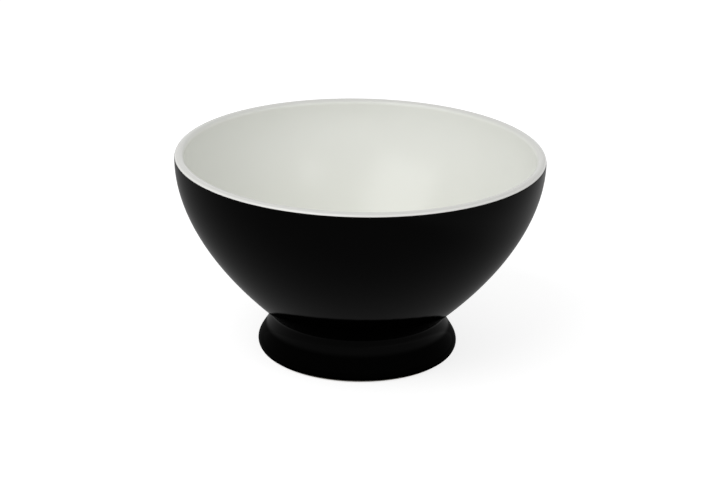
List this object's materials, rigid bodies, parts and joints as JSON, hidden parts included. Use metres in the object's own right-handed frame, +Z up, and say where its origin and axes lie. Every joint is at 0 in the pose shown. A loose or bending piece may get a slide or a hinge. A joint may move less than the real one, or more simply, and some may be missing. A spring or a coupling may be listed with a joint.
{
  "type": "latte bowl",
  "caption": "Footed latte bowl with a rolled rim, a full curved side and a hollow moulded foot, glazed black outside and off-white inside.",
  "frame": {"origin": "centre of the plane that the foot's resting ring lies in", "axes": "+Z up along the axis that the bowl is turned on; X and Y are alike, because the bowl looks the same all round"},
  "size_m": [0.14, 0.14, 0.079],
  "materials": {
    "clay": "bare fired clay, fine and matt, a little rubbed on the resting ring",
    "slip": "fired joining slip, matt, covered by the glaze",
    "white_glaze": "smooth glossy off-white glaze",
    "black_glaze": "smooth glossy black glaze, pooled a little in the neck"
  },
  "bodies": {
    "root": {"bowl_body": "clay", "foot_ring": "clay", "slip_joint": "slip", "inner_glaze": "white_glaze", "outer_glaze": "black_glaze", "underside_glaze": "white_glaze"}
  },
  "joints": []
}
